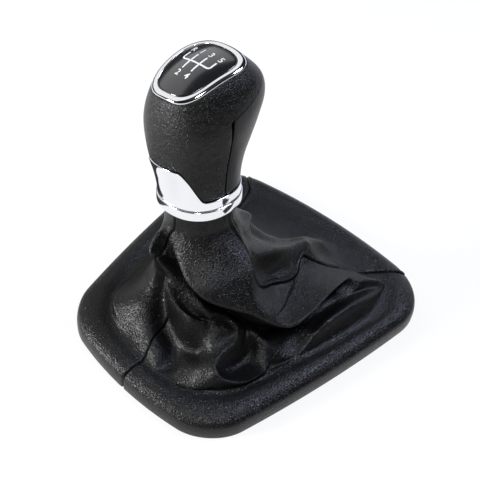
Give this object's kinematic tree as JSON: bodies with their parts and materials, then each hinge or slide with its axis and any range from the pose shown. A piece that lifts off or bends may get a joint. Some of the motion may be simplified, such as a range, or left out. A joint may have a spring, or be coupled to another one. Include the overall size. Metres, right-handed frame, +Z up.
{
  "type": "gear shift knob",
  "caption": "Manual gear shift knob with domed cap, bright bezel and collar, folded leather gaiter and its plastic frame; fits over a round gear lever.",
  "frame": {"origin": "bottom centre of the gaiter frame, on the face it stands on", "axes": "+Z up, +Y towards the front of the car, which is the gaiter's wide end, +X to the right"},
  "size_m": [0.149, 0.1568, 0.1321],
  "materials": {
    "frame_plastic": "moulded matt black",
    "gaiter_leather": "pebbled black leather with a soft sheen",
    "tie_plastic": "plain black",
    "bright_trim": "mirror bright plating",
    "core_plastic": "moulded dark grey",
    "clamp_steel": "plain steel",
    "grip_skin": "fine grained black skin",
    "grip_panel": "smooth satin black",
    "cap_gloss": "polished black with a white shift pattern"
  },
  "bodies": {
    "base": {"gaiter_frame": "frame_plastic"},
    "gaiter": {"gaiter_front_panel": "gaiter_leather", "gaiter_left_panel": "gaiter_leather", "gaiter_right_panel": "gaiter_leather"},
    "knob": {"gaiter_ring": "frame_plastic", "gaiter_tie": "tie_plastic", "collar": "bright_trim", "knob_core": "core_plastic", "lever_sleeve": "core_plastic", "lever_clamp": "clamp_steel", "grip_rear": "grip_skin", "grip_front": "grip_panel", "cap_bezel": "bright_trim", "top_cap": "cap_gloss"}
  },
  "joints": [
    {"name": "shift_fore_aft", "type": "hinge", "parent": "base", "child": "gaiter", "pos_m": [0.005, -0.0185, -0.133], "axis": [1, 0, 0], "range_deg": [-10, 10], "deforming": ["gaiter_front_panel", "gaiter_left_panel", "gaiter_right_panel"]},
    {"name": "shift_cross_gate", "type": "hinge", "parent": "gaiter", "child": "knob", "pos_m": [0.005, -0.0185, -0.133], "axis": [0, 1, 0], "range_deg": [-5, 12], "deforming": ["gaiter_front_panel", "gaiter_left_panel", "gaiter_right_panel"]}
  ]
}
